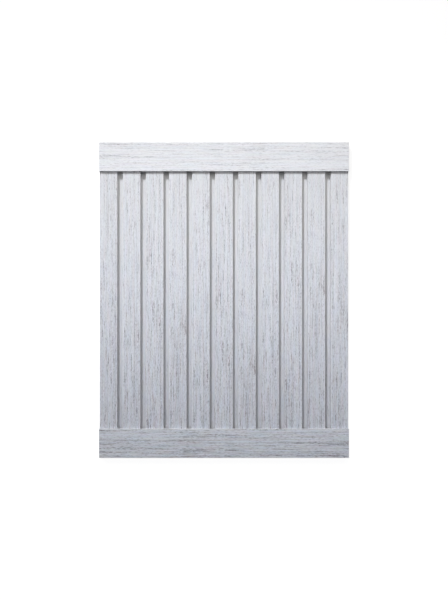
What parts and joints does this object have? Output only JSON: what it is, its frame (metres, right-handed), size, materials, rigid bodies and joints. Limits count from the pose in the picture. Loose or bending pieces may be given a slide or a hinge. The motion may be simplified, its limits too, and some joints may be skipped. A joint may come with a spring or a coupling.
{
  "type": "three-dimensional slatted wall panel",
  "caption": "Wall panel of grooved slat planks, lapped edge to edge and closed by end trims, held between a top and a bottom rail; whitewashed wood grain, glued to a wall.",
  "frame": {"origin": "middle of the panel's back, on the wall plane", "axes": "+X across the slats to the right, +Y up the wall towards the top rail, +Z out of the wall; the panel is stored lying on its back"},
  "size_m": [0.432, 0.546, 0.017],
  "materials": {
    "upright_grain": "matt whitewashed wood grain along the slats",
    "level_grain": "matt whitewashed wood grain along the rail"
  },
  "bodies": {
    "root": {"left_end_trim": "upright_grain", "slat_plank_1": "upright_grain", "slat_plank_2": "upright_grain", "slat_plank_3": "upright_grain", "right_end_trim": "upright_grain", "top_rail": "level_grain", "bottom_rail": "level_grain"}
  },
  "joints": []
}
